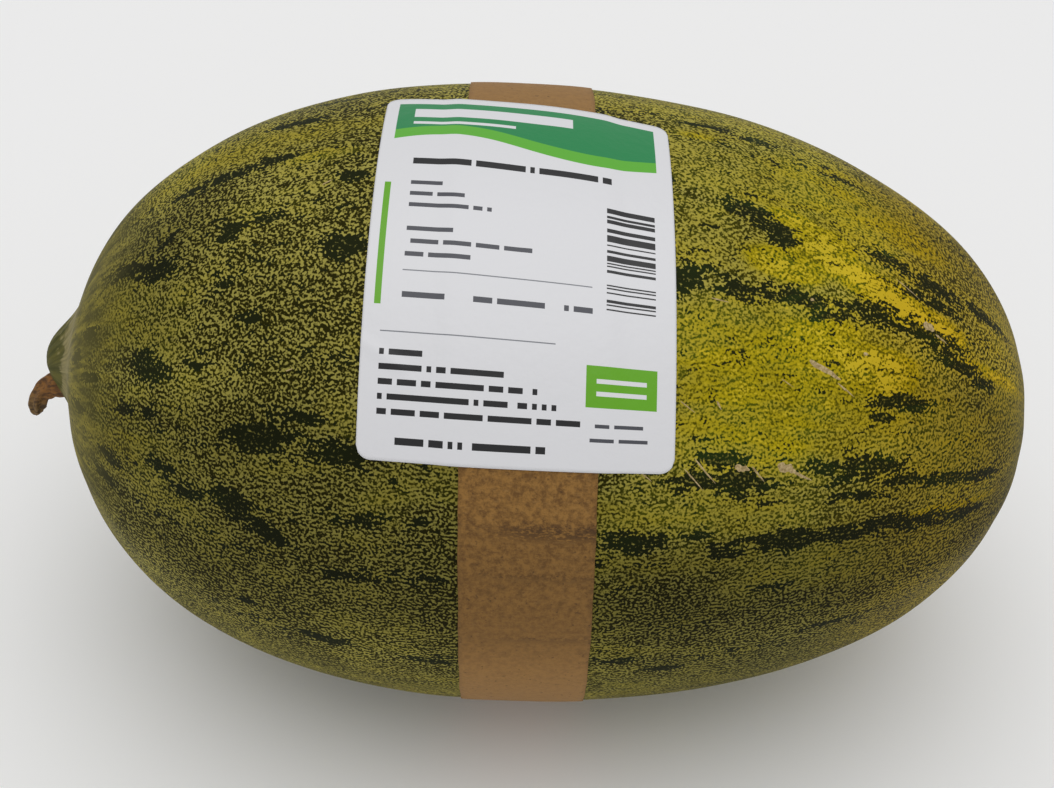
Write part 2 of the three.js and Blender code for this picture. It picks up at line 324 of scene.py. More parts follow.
def label_point(across, share, lift):
    """A point of the label, from its place across in millimetres and its share of the way up."""
    right = 0.5 + across / LABEL_HALF_WIDTH / 2
    top_angle = mix(LABEL_TOP_LEFT_ANGLE, LABEL_TOP_RIGHT_ANGLE, right)
    height = math.radians(top_angle - LABEL_BOTTOM_ANGLE)
    cut = corner_trim(across) / FRUIT_RADIUS
    angle = math.radians(LABEL_BOTTOM_ANGLE) + cut + share * (height - 2 * cut)
    x = (LABEL_RIGHT_X + LABEL_LEFT_X) / 2 + across - LABEL_GATHER * share * right
    beyond = abs(x - band_middle(angle)) - BAND_WIDTH / 2
    step = smooth_step(beyond, STEP_START, STEP_END)
    base = mix(BAND_TOP_LIFT, RIND_LIFT, step)
    ripple = LABEL_RIPPLE * noise.noise(Vector((x / 14, angle * 5, 3))) + LABEL_RIPPLE
    here = Vector((x, FRUIT_RADIUS * angle))
    for (start_x, start, end_x, end), height in LABEL_CREASES:
        first = Vector((start_x, FRUIT_RADIUS * math.radians(start)))
        run = Vector((end_x, FRUIT_RADIUS * math.radians(end))) - first
        nearest = first + run * min(1.0, max(0.0, (here - first).dot(run) / run.length_squared))
        ripple += height * math.exp(-((here - nearest).length / CREASE_WIDTH) ** 2)
    return over_rind(station_at(x), angle, base + LAID_ON + ripple + lift)


def new_grid(across, along, size=1.0):
    """A bmesh that holds one flat grid with so many faces each way."""
    bm = bmesh.new()
    bmesh.ops.create_grid(bm, x_segments=across, y_segments=along, size=size)
    return bm


def finish_mesh(mesh_name, bm, material):
    """Turns a finished bmesh in millimetres into an object at the origin, in metres, shaded smooth."""
    bmesh.ops.remove_doubles(bm, verts=bm.verts, dist=0.001)
    bmesh.ops.recalc_face_normals(bm, faces=bm.faces)
    bmesh.ops.scale(bm, vec=(MM, MM, MM), verts=bm.verts)
    mesh = bpy.data.meshes.new(mesh_name)
    bm.to_mesh(mesh)
    bm.free()
    mesh.polygons.foreach_set("use_smooth", [True] * len(mesh.polygons))
    mesh.materials.append(material)
    made = bpy.data.objects.new(mesh_name, mesh)
    bpy.context.scene.collection.objects.link(made)
    return made


def add_node(tree, kind, inputs=None, out=0, **settings):
    """Adds a node, sets its properties, fills its inputs with values or links, and returns one output."""
    made = tree.nodes.new("ShaderNode" + kind)
    for name, value in settings.items():
        setattr(made, name, value)
    for key, value in (inputs or {}).items():
        if isinstance(value, bpy.types.NodeSocket):
            tree.links.new(value, made.inputs[key])
        else:
            made.inputs[key].default_value = value
    return made.outputs[out] if len(made.outputs) else None


# Settings that many nodes share.
SOFT = {"interpolation_type": "SMOOTHSTEP"}
RGBA = {"out": 2, "data_type": "RGBA"}


def new_material(name):
    """An empty material, and the means to add nodes to it."""
    material = bpy.data.materials.new(name)
    material.use_nodes = True
    material.node_tree.nodes.clear()
    return material, partial(add_node, material.node_tree)


def rind_material(settings):
    """Ripe melon rind: an unpolished waxy skin, dark green under a fine yellow speckle that thins out
    in the dark blotches and closes up in the yellow streaks."""
    material, node = new_material("waxy_melon_rind")
    place = node("TexCoord", out="Object")
    lie = node("Attribute", out="Vector", attribute_name="lie")
    # The third attribute holds the painted light and shade for the skin's colour.
    dark, gold, painted_shading = (
        node("Attribute", out="Fac", attribute_name=name) for name in ("dark", "gold", "painted_shading"))

    # The speckle: short waves one spacing apart make winding flecks, and a finer grain tears them.
    spacing = settings.speckle_spacing
    waves = node(
        "TexGabor",
        {"Vector": place, "Scale": WAVE_SHARE / spacing, "Frequency": 1 / WAVE_SHARE, "Anisotropy": 0.0},
        gabor_type="3D")
    grain = node("TexNoise", {"Vector": place, "Scale": 1 / (GRAIN_SHARE * spacing), "Detail": 0.0})
    fleck = node("Math", {0: grain, 1: 0.6, 2: waves}, operation="MULTIPLY_ADD")
    fleck = node("Math", {0: fleck, 1: 0.8}, operation="SUBTRACT")

    # Slow patches, and streaks and tears drawn out along the fruit: 16 by 4.2 mm and 3.6 by 1.5 mm.
    patches = node("TexNoise", {"Vector": place, "Scale": 32.0, "Detail": 2.5, "Roughness": 0.55})
    patch = node("Math", {0: patches, 1: 0.5}, operation="SUBTRACT")
    drawn = []
    for length, width, detail in ((16 * MM, 4.2 * MM, 3.0), (3.6 * MM, 1.5 * MM, 2.0)):
        stretch = node("Mapping", {"Vector": lie, "Scale": (1 / length, 1 / width, 1 / width)})
        wave = node("TexNoise", {"Vector": stretch, "Scale": 1.0, "Detail": detail, "Roughness": 0.6})
        drawn.append(node("Math", {0: wave, 1: 0.5}, operation="SUBTRACT"))
    streak, tear = drawn

    # Blotches: their edges are torn by the streaks, the tears and the speckle.
    edge = dark
    for part, share in ((tear, 2.6), (streak, 1.2), (fleck, -1.3)):
        edge = node("Math", {0: part, 1: share, 2: edge}, operation="MULTIPLY_ADD")
    blotch = node("MapRange", {0: edge, 1: 0.36, 2: 0.68}, **SOFT)
    clear = node("Math", {0: 1.0, 1: blotch}, operation="SUBTRACT")

    # Yellow zones, and inside them streaks of plain yellow.
    gilt = gold
    for part, share in ((patch, 0.6), (streak, 0.9)):
        gilt = node("Math", {0: part, 1: share, 2: gilt}, operation="MULTIPLY_ADD")
    gilded = node("Math", {0: gilt, 1: 1.25}, operation="MULTIPLY", use_clamp=True)
    plain = gilt
    for part, share in ((tear, -2.4), (fleck, 1.7)):
        plain = node("Math", {0: part, 1: share, 2: plain}, operation="MULTIPLY_ADD")
    plain = node("MapRange", {0: plain, 1: 1.15, 2: 1.5}, **SOFT)
    plain = node("Math", {0: plain, 1: clear}, operation="MULTIPLY")

    # Where the speckle passes the threshold the yellow shows, elsewhere the green below it. Blotches
    # raise the threshold and yellow zones lower it.
    threshold = 0.03
    for part, share in ((gilded, -0.10), (blotch, 0.2), (patch, -0.10), (streak, -0.12)):
        threshold = node("Math", {0: part, 1: share, 2: threshold}, operation="MULTIPLY_ADD")
    above = node("Math", {0: fleck, 1: threshold}, operation="SUBTRACT")
    width = node("Math", {0: gilded, 1: 0.07, 2: 0.10}, operation="MULTIPLY_ADD")
    above = node("Math", {0: above, 1: width}, operation="DIVIDE")
    shown = node("MapRange", {0: above, 1: -1.0, 2: 1.2}, **SOFT)
    shown = node("Math", {0: shown, 1: plain}, operation="MAXIMUM")

    # The colours below and on top, both yellower in the yellow zones.
    greener = node("Math", {0: streak, 1: -0.8, 2: patches}, operation="MULTIPLY_ADD")
    deep = node("MapRange", {0: greener, 1: 0.5, 2: 0.6}, **SOFT)
    deep = node("Math", {0: deep, 1: gilded}, operation="MULTIPLY")
    deep = node("Mix", {0: deep, 6: settings.blotch, 7: settings.green_blotch}, **RGBA)
    ground = node("Mix", {0: gilded, 6: settings.ground, 7: settings.gold_ground}, **RGBA)
    leafy = node("MapRange", {0: greener, 1: 0.42, 2: 0.62, 4: 0.8}, **SOFT)
    leafy = node("Math", {0: leafy, 1: gilded}, operation="MULTIPLY")
    ground = node("Mix", {0: leafy, 6: ground, 7: settings.leaf_green}, **RGBA)
    ground = node("Mix", {0: blotch, 6: ground, 7: deep}, **RGBA)
    top = node("Mix", {0: gilded, 6: settings.speckle, 7: settings.gold_speckle}, **RGBA)
    faint = node("Math", {0: blotch, 1: 0.6}, operation="MULTIPLY")
    top = node("Mix", {0: faint, 6: top, 7: settings.fleck}, **RGBA)
    top = node("Mix", {0: plain, 6: top, 7: settings.plain_gold}, **RGBA)
    skin = node("Mix", {0: shown, 6: ground, 7: top}, **RGBA)

    # Painted light and shade on the skin's sides, slow unevenness, and a rusty tint towards the blossom end.
    slow = node("MapRange", {0: patches, 1: 0.3, 2: 0.7, 3: 0.92, 4: 1.08}, **SOFT)
    slow = node("Math", {0: slow, 1: painted_shading}, operation="MULTIPLY")
    skin = node("VectorMath", {0: skin, "Scale": slow}, operation="SCALE")
    rusty = node("SeparateXYZ", {0: place}, "X")
    rusty = node("MapRange", {0: rusty, 1: 65 * MM, 2: 105 * MM}, **SOFT)
    skin = node("Mix", {0: rusty, 6: skin, 7: settings.rust}, **RGBA, blend_type="MULTIPLY")

    # Shoulder round the knuckle: the speckle fades into smears, then comes a pale ring that is a painted
    # highlight where the shoulder turns away, and the knuckle itself is greener.
    knuckle = (KNUCKLE_X * MM, KNUCKLE_Y * MM, (AXIS_Z + KNUCKLE_Z) * MM)
    gap = node("VectorMath", {0: place, 1: knuckle}, "Value", operation="DISTANCE")
    gap = node("Math", {0: streak, 1: 9 * MM, 2: gap}, operation="MULTIPLY_ADD")
    smear = node("MapRange", {0: streak, 1: -0.12, 2: 0.15}, **SOFT)
    smear = node("Math", {0: smear, 1: clear}, operation="MULTIPLY")
    smear = node("Mix", {0: smear, 6: settings.faded_dark, 7: settings.faded}, **RGBA)
    faded = node("MapRange", {0: gap, 1: 72 * MM, 2: 40 * MM, 4: 0.93}, **SOFT)
    skin = node("Mix", {0: faded, 6: skin, 7: smear}, **RGBA)
    crumbs = node("TexNoise", {"Vector": place, "Scale": 230.0, "Detail": 2.0})
    crumb = node("Math", {0: crumbs, 1: 0.5}, operation="SUBTRACT")
    rough_gap = node("Math", {0: crumb, 1: 14 * MM, 2: gap}, operation="MULTIPLY_ADD")
    cap = node("MapRange", {0: rough_gap, 1: 18 * MM, 2: 12 * MM, 4: 0.9}, **SOFT)
    wide = node("Mapping", {"Vector": lie, "Scale": (1 / (24 * MM), 1 / (8 * MM), 1 / (8 * MM))})
    ribs = node("TexNoise", {"Vector": wide, "Scale": 1.0, "Detail": 1.5})
    ribs = node("MapRange", {0: ribs, 1: 0.34, 2: 0.66}, **SOFT)
    ribs = node("Mix", {0: ribs, 6: settings.knuckle_dark, 7: settings.knuckle}, **RGBA)
    skin = node("Mix", {0: cap, 6: skin, 7: ribs}, **RGBA)
    # Painted highlight: the pale ring round the knuckle, thinned by the streaks.
    painted_highlight_ring = node("MapRange", {0: rough_gap, 1: 12.5 * MM, 2: 16 * MM, 4: 0.85}, **SOFT)
    ring_end = node("MapRange", {0: rough_gap, 1: 37 * MM, 2: 21 * MM}, **SOFT)
    painted_highlight_ring = node("Math", {0: painted_highlight_ring, 1: ring_end}, operation="MULTIPLY")
    thin = node("MapRange", {0: streak, 1: -0.2, 2: 0.2, 3: 0.55, 4: 1.0}, **SOFT)
    painted_highlight_ring = node("Math", {0: painted_highlight_ring, 1: thin}, operation="MULTIPLY")
    skin = node("Mix", {0: painted_highlight_ring, 6: skin, 7: settings.shoulder_highlight}, **RGBA)

    # The speckle fades a little into paler smears at the blossom end and on the underside too, as painted
    # sheen where the rind turns away. The scar is a corky disc with a broken edge.
    blossom = ((WIDEST_X + BLOSSOM_END_LENGTH) * MM, 0, AXIS_Z * MM)
    near = node("VectorMath", {0: place, 1: blossom}, "Value", operation="DISTANCE")
    # Painted sheen: paler smears near the blossom end.
    hazy = node("MapRange", {0: near, 1: 46 * MM, 2: 18 * MM, 4: 0.6}, **SOFT)
    skin = node("Mix", {0: hazy, 6: skin, 7: smear}, **RGBA)
    # Painted sheen: paler smears over the underside.
    low = node("SeparateXYZ", {0: place}, "Z")
    low = node("MapRange", {0: low, 1: 72 * MM, 2: 36 * MM, 4: 0.35}, **SOFT)
    skin = node("Mix", {0: low, 6: skin, 7: smear}, **RGBA)
    near = node("Math", {0: crumb, 1: 9 * MM, 2: near}, operation="MULTIPLY_ADD")
    cork = node("MapRange", {0: near, 1: 8 * MM, 2: 5.5 * MM}, **SOFT)
    worn = node("MapRange", {0: grain, 1: 0.35, 2: 0.65}, **SOFT)
    worn = node("Mix", {0: worn, 6: settings.faded_dark, 7: settings.cork}, **RGBA)
    skin = node("Mix", {0: cork, 6: skin, 7: worn}, **RGBA)

    pores = node("TexNoise", {"Vector": place, "Scale": 1500.0, "Detail": 1.0})
    bump = node("Bump", {"Height": pores, "Strength": 0.6, "Distance": 0.08 * MM})
    shader = node("BsdfPrincipled", {
        "Base Color": skin, "Roughness": 0.6, "IOR": 1.45, "Specular IOR Level": 0.06, "Normal": bump})
    node("OutputMaterial", {"Surface": shader})
    return material


def cork_material(settings):
    """Healed corky skin: dry, matt and pale tan, with a grain along the scratch."""
    material, node = new_material("dry_cork_skin")
    place = node("TexCoord", out="Object")
    grain = node("TexNoise", {"Vector": place, "Scale": 1400.0, "Detail": 3.0})
    share = node("MapRange", {0: grain, 1: 0.35, 2: 0.65})
    colour = node("Mix", {0: share, 6: settings.cork, 7: settings.cork_light}, **RGBA)
    bump = node("Bump", {"Height": grain, "Distance": 0.15 * MM})
    shader = node("BsdfPrincipled", {"Base Color": colour, "Roughness": 0.85, "Normal": bump})
    node("OutputMaterial", {"Surface": shader})
    return material


def stem_material(settings):
    """Dried stem: woody and fibrous, orange brown where it joins the fruit and greyer at its cut tip."""
    material, node = new_material("dried_woody_stem")
    place = node("TexCoord", out="Object")
    drawn = node("Mapping", {"Vector": place, "Scale": (350, 1500, 1100)})
    fibre = node("TexNoise", {"Vector": drawn, "Scale": 1.0, "Detail": 4.0})
    run = node("Attribute", out="Fac", attribute_name="run")
    share = node("MapRange", {0: run, 1: 0.45, 2: 0.95}, **SOFT)
    colour = node("Mix", {0: share, 6: settings.base, 7: settings.tip}, **RGBA)
    share = node("MapRange", {0: fibre, 1: 0.34, 2: 0.6, 3: 0.75, 4: 0.0}, **SOFT)
    colour = node("Mix", {0: share, 6: colour, 7: settings.crack}, **RGBA)
    bump = node("Bump", {"Height": fibre, "Distance": 0.4 * MM})
    shader = node("BsdfPrincipled", {"Base Color": colour, "Roughness": 0.8, "Normal": bump})
    node("OutputMaterial", {"Surface": shader})
    return material


def kraft_material(settings):
    """Brown kraft paper: unbleached pressed fibre, matt and mottled, with dirty creases from handling."""
    material, node = new_material("brown_kraft_paper")
    lie = node("Attribute", out="Vector", attribute_name="lie")
    turn = node("Attribute", out="Fac", attribute_name="turn")
    mottle = node("TexNoise", {"Vector": lie, "Scale": 620.0, "Detail": 4.0, "Roughness": 0.75})
    drawn = node("Mapping", {"Vector": lie, "Scale": (800, 1900, 1900)})
    fibre = node("TexNoise", {"Vector": drawn, "Scale": 1.0, "Detail": 3.0})
    share = node("MapRange", {0: mottle, 1: 0.38, 2: 0.6, 3: 1.0, 4: 0.0})
    handled = node("MapRange", {0: turn, 1: -24.0, 2: 28.0, 3: 0.35, 4: 1.0}, **SOFT)
    share = node("Math", {0: share, 1: handled}, operation="MULTIPLY")
    colour = node("Mix", {0: share, 6: settings.kraft, 7: settings.kraft_dark}, **RGBA)
    share = node("MapRange", {0: fibre, 1: 0.52, 2: 0.75, 4: 0.35}, **SOFT)
    colour = node("Mix", {0: share, 6: colour, 7: settings.kraft_fibre}, **RGBA)

    # A dirty crease across the band a little below the label, and fainter ones lower down.
    across = node("SeparateXYZ", {0: lie})
    side = node("MapRange", {0: across, 1: -12 * MM, 2: 2 * MM, 3: 0.25, 4: 1.0}, **SOFT)
    broken = node("MapRange", {0: fibre, 1: 0.36, 2: 0.52}, **SOFT)
    broken = node("Math", {0: broken, 1: side}, operation="MULTIPLY")
    wander = node("Math", {0: mottle, 1: 5.0, 2: turn}, operation="MULTIPLY_ADD")
    for middle, half_width, strength in KRAFT_CREASES:
        miss = node("Math", {0: wander, 1: middle + 2.5}, operation="SUBTRACT")
        miss = node("Math", {0: miss}, operation="ABSOLUTE")
        line = node("MapRange", {0: miss, 1: half_width, 2: 0.1, 4: strength}, **SOFT)
        line = node("Math", {0: line, 1: broken}, operation="MULTIPLY")
        colour = node("Mix", {0: line, 6: colour, 7: settings.kraft_dirt}, **RGBA)

    # Painted light and shade: the paper is paler over the top of the fruit as painted light, a little paler
    # low down as painted sheen, and darker at its front as painted shade.
    pale = node("MapRange", {0: turn, 1: 86.0, 2: 112.0, 4: 0.8}, **SOFT)
    low = node("MapRange", {0: turn, 1: 6.0, 2: -30.0, 4: 0.1}, **SOFT)
    pale = node("Math", {0: pale, 1: low}, operation="ADD")
    colour = node("Mix", {0: pale, 6: colour, 7: settings.kraft_painted_light}, **RGBA)
    # Painted shade: darker across the band's front.
    front = node("Math", {0: turn, 1: 5.0}, operation="SUBTRACT")
    front = node("Math", {0: front}, operation="ABSOLUTE")
    front = node("MapRange", {0: front, 1: 6.0, 2: 20.0, 3: 0.8, 4: 1.0}, **SOFT)
    colour = node("VectorMath", {0: colour, "Scale": front}, operation="SCALE")

    specks = node("TexNoise", {"Vector": lie, "Scale": 900.0, "Detail": 1.0})
    specks = node("MapRange", {0: specks, 1: 0.66, 2: 0.78, 4: 0.6}, **SOFT)
    colour = node("Mix", {0: specks, 6: colour, 7: settings.kraft_dirt}, **RGBA)
    height = node("Math", {0: mottle, 1: 0.6, 2: fibre}, operation="MULTIPLY_ADD")
    bump = node("Bump", {"Height": height, "Strength": 0.8, "Distance": 0.09 * MM})
    shader = node("BsdfPrincipled", {
        "Base Color": colour, "Roughness": 0.8, "Specular IOR Level": 0.3, "Normal": bump})
    node("OutputMaterial", {"Surface": shader})
    return material


def label_material(settings):
    """Coated label paper: smooth satin white, printed with flat ink in a plain form layout."""
    material, node = new_material("coated_label_paper")
    sheet = node("UVMap", uv_map="sheet")
    right = node("SeparateXYZ", {0: sheet}, "X")
    up = node("SeparateXYZ", {0: sheet}, "Y")
    paper = [settings.paper]

    def print_area(left, low, width, height, ink, *masks):
        """Prints a rectangle, given in millimetres from the lower left corner, where the masks allow."""
        share = node("Math", {0: right, 1: left + width / 2, 2: width / 2}, operation="COMPARE")
        rise = node("Math", {0: up, 1: low + height / 2, 2: height / 2}, operation="COMPARE")
        for mask in (rise, *masks):
            share = node("Math", {0: share, 1: mask}, operation="MULTIPLY")
        paper.append(node("Mix", {0: share, 6: paper[-1], 7: ink}, **RGBA))

    # Header: a green field across the top whose lower edge swings in one slow wave over a paler one.
    swing = node("Math", {0: right, 1: 0.085}, operation="MULTIPLY")
    swing = node("Math", {0: swing}, operation="SINE")
    for low, ink in ((LABEL_HEIGHT - 22.0, settings.header_pale), (LABEL_HEIGHT - 18.0, settings.header)):
        edge = node("Math", {0: swing, 1: 3.0, 2: low}, operation="MULTIPLY_ADD")
        over = node("Math", {0: up, 1: edge}, operation="GREATER_THAN")
        print_area(3.5, LABEL_HEIGHT - 30.0, 68.0, 26.5, ink, over)
    print_area(8.0, LABEL_HEIGHT - 11.0, 42.0, 4.4, settings.paper)
    print_area(8.0, LABEL_HEIGHT - 14.4, 27.0, 1.2, settings.paper)

    # Rows of blank form lines on an even pitch, broken into short runs.
    cells = node("VectorMath", {0: sheet, 1: (DASH, ROW_PITCH, 1.0)}, operation="SNAP")
    runs = node("TexWhiteNoise", {"Vector": cells}, noise_dimensions="2D")
    runs = node("Math", {0: runs, 1: 0.15}, operation="GREATER_THAN")
    for rows, ink in ((LIGHT_ROWS, settings.ink_light), (BOLD_ROWS, settings.ink)):
        for left, row, dashes, height in rows:
            print_area(left * DASH, row * ROW_PITCH + ROW_RISE, dashes * DASH, height, ink, runs)
    for left, low, width, height in RULED_LINES:
        print_area(left, low, width, height, settings.rule)

    # A block of plain bars of uneven width, and a green block with pale stripes.
    bars = node("Math", {0: up, 1: 2.6}, operation="MULTIPLY")
    bars = node("Math", {0: bars}, operation="FLOOR")
    bars = node("TexWhiteNoise", {"W": bars}, noise_dimensions="1D")
    bars = node("Math", {0: bars, 1: 0.47}, operation="GREATER_THAN")
    print_area(*BAR_BLOCK, settings.ink, bars)
    left, low, width, height = GREEN_BLOCK
    print_area(left, low, width, height, settings.block)
    for rise in (0.28, 0.58):
        print_area(left + 2.5, low + rise * height, width - 5, 1.1, settings.paper)
    print_area(2.6, 36.0, 1.6, 33.0, settings.block)

    fine = node("TexNoise", {"Vector": sheet, "Scale": 0.35, "Detail": 3.0})
    bump = node("Bump", {"Height": fine, "Strength": 0.5, "Distance": 0.25 * MM})
    shader = node("BsdfPrincipled", {"Base Color": paper[-1], "Roughness": 0.38, "IOR": 1.5, "Normal": bump})
    node("OutputMaterial", {"Surface": shader})
    return material


def within_reach(marks, x, spread):
    """The marks near enough along the fruit to show at x."""
    return [mark for mark in marks if abs(x - mark[0]) < spread * mark[2] + mark[3] + 2]


def miss_of(mark, x, degrees, radius):
    """How far a place on the rind is from the middle of a leaning oval mark: 1 at the mark's edge."""
    middle, angle, length, width, turn = mark[:5]
    dx = x - middle
    dy = math.radians((degrees - angle + 180) % 360 - 180) * radius
    lean = math.radians(turn)
    along = dx * math.cos(lean) + dy * math.sin(lean)
    aside = dy * math.cos(lean) - dx * math.sin(lean)
    return math.hypot(2 * along / length, 2 * aside / width)


def blotch_strength(blotches, x, degrees, radius):
    """How strongly the strongest blotch shows at a place: 0.5 at a blotch's edge, 1.5 in its middle."""
    return max((1.5 - miss_of(mark, x, degrees, radius) for mark in blotches), default=0.0)


def gold_strength(zones, x, degrees, radius):
    """How yellow the skin is at a place: the strongest of the zones, which fade out from their middles."""
    return max(
        (zone[5] * math.exp(-0.7 * miss_of(zone, x, degrees, radius) ** 3) for zone in zones), default=0.0)


def gold_base(x, degrees):
    """How yellow the skin is between the zones: more towards the blossom end, and nothing below."""
    return mix(-0.1, 0.28, smooth_step(x, -50, 60)) * smooth_step(degrees, -4, 20)


def row_strength(x, degrees, radius):
    """How strongly small blotches come up at a place: most in the middle of a row."""
    rows = STEM_HALF_ROWS if x < 0 else BLOSSOM_HALF_ROWS
    away = min(abs(math.radians(degrees - row)) * radius for row in rows)
    return ROW_STRENGTH * math.exp(-(away / ROW_WIDTH) ** 2)


def painted_skin_shading(x, degrees):
    """Painted light and shade in the skin's colour: darker at the front and beside both ends as painted
    shade, lighter over the top as painted light, lighter at both lower rims as painted sheen, and a little
    lighter over the yellow side."""
    light = mix(curve(STEM_HALF_PAINTED_SHADING, degrees), curve(BLOSSOM_HALF_PAINTED_SHADING, degrees), smooth_step(x, -10, 40))
    # Painted shade beside both ends.
    knuckle_side = smooth_step(-x, 74, 94) * smooth_step(degrees, 92, 76) * smooth_step(degrees, 38, 52)
    blossom_side = smooth_step(x, 84, 110) * smooth_step(degrees, 60, 46) * smooth_step(degrees, 20, 34)
    # Painted sheen at both lower rims.
    rims = smooth_step(abs(x), 78, 104) * smooth_step(degrees, 26, 10)
    glow = smooth_step(x, 50, 80) * smooth_step(degrees, 42, 54) * smooth_step(degrees, 92, 78)
    return light * (1 - 0.32 * knuckle_side - 0.28 * blossom_side + 0.3 * rims + 0.16 * glow)


def far_side_marks():
    """Blotches and yellow zones for the sides that face away, in rows along the fruit."""
    draw = random.Random(RANDOM_START)
    blotches = []
    zones = []
    for row in range(FAR_ROWS):
        angle = mix(*FAR_SIDE, (row + draw.uniform(0.2, 0.8)) / FAR_ROWS)
        x = draw.uniform(-118, -100)
        while x < 118:
            length = draw.uniform(6, 24)
            width = draw.uniform(2.2, 3.0 + 0.25 * length)
            if draw.random() < 0.62:
                blotches.append((x, angle + draw.uniform(-4, 4), length, width, draw.uniform(-8, 8)))
            x += length * draw.uniform(0.8, 1.6)
        for _ in range(2):
            zones.append((
                draw.uniform(-90, 110), angle + draw.uniform(-6, 6), draw.uniform(20, 80),
                draw.uniform(6, 26), draw.uniform(-6, 6), draw.uniform(0.3, 0.95)))
    for _ in range(5):
        zones.append((
            draw.uniform(-60, 100), draw.uniform(*FAR_SIDE), draw.uniform(14, 34),
            draw.uniform(3, 7), draw.uniform(-14, 14), draw.uniform(1.5, 1.9)))
    return blotches, zones


class MelonRindSettings(bpy.types.PropertyGroup):
    girth_steps: IntProperty(name="Steps round", description="Faces round the fruit", default=400, min=48)
    length_steps: IntProperty(name="Steps along", description="Faces along the fruit", default=220, min=32)
    speckle_spacing: FloatProperty(
        name="Speckle spacing", description="Distance from one speckle to the next",
        default=1.08 * MM, min=0.2 * MM, subtype="DISTANCE", unit="LENGTH")
    ground: tint("Ground", "Dark skin between the speckles", "#292600")
    speckle: tint("Speckle", "Khaki speckle", "#a69d4c")
    gold_ground: tint("Green in the yellow", "Skin between the speckles in yellow zones", "#5d5700")
    gold_speckle: tint("Yellow speckle", "Speckle in yellow zones", "#ad9b12")
    plain_gold: tint("Plain yellow", "Streaks with no green in them", "#c4ae28")
    blotch: tint("Blotch", "Ground of the dark blotches", "#1f230b")
    fleck: tint("Fleck", "Speckle that is left inside a blotch", "#565733")
    leaf_green: tint("Leaf green", "Greener tint in yellow zones", "#47550a")
    faded: tint("Faded", "Where the speckle fades out near the stem", "#8a7f33")
    faded_dark: tint("Faded dark", "Darker smears there", "#555022")
    green_blotch: tint("Green blotch", "Greener ground of some blotches", "#23340e")
    # This colour is a painted highlight on the ring round the knuckle.
    shoulder_highlight: tint("Shoulder", "Bare skin round the knuckle", "#948a62")
    knuckle: tint("Knuckle", "Skin of the knuckle", "#605c2c")
    knuckle_dark: tint("Knuckle ribs", "Darker ribs of the knuckle", "#424420")
    rust: tint("Rust", "Tint towards the blossom end", "#fff0c4")
    cork: tint("Cork", "Healed corky skin", "#8c7649")
    cork_light: tint("Light cork", "Lightest corky skin", "#c2ab7c")


class MelonStemSettings(bpy.types.PropertyGroup):
    sides: IntProperty(name="Sides", description="Faces round the stem", default=40, min=8)
    base: tint("Base", "Stem where it joins the fruit", "#83561f")
    tip: tint("Tip", "Cut end of the stem", "#765b31")
    crack: tint("Cracks", "Furrows between the fibres", "#2a180b")


class MelonPaperSettings(bpy.types.PropertyGroup):
    kraft: tint("Kraft", "Main colour of the paper band", "#936b34")
    kraft_dark: tint("Kraft mottle", "Darker fibre of the band", "#684821")
    kraft_fibre: tint("Kraft fibre", "Pale fibres of the band", "#997544")
    # This colour is painted light over the top of the fruit and painted sheen low down on the band.
    kraft_painted_light: tint("Worn kraft", "Paler paper at the top of the fruit", "#c6a883")
    kraft_dirt: tint("Kraft dirt", "Dirty creases of the band", "#3f2a18")
    paper: tint("Paper", "White of the label", "#e0e0e3")
    ink: tint("Ink", "Dark print of the label", "#151518")
    ink_light: tint("Light ink", "Thinner print of the label", "#484950")
    rule: tint("Rule", "Thin ruled lines", "#7d7f85")
    header: tint("Header", "Green field at the top", "#0f8448")
    header_pale: tint("Pale header", "Lighter field under it", "#5bb02c")
    block: tint("Block", "Small green block", "#62a80c")


class MelonStageSettings(bpy.types.PropertyGroup):
    elevation: FloatProperty(
        name="Camera height", description="How far the camera looks down",
        default=math.radians(42), subtype="ANGLE")
    roll: FloatProperty(
        name="Camera roll", description="Turn of the picture", default=math.radians(2.8), subtype="ANGLE")
    distance: FloatProperty(
        name="Camera distance", description="From the fruit's middle",
        default=0.5, subtype="DISTANCE", unit="LENGTH")
    lens: FloatProperty(name="Lens", description="Focal length in millimetres", default=60.25, subtype="NONE")
    floor: tint("Floor", "Pale floor", "#fbfbfb")


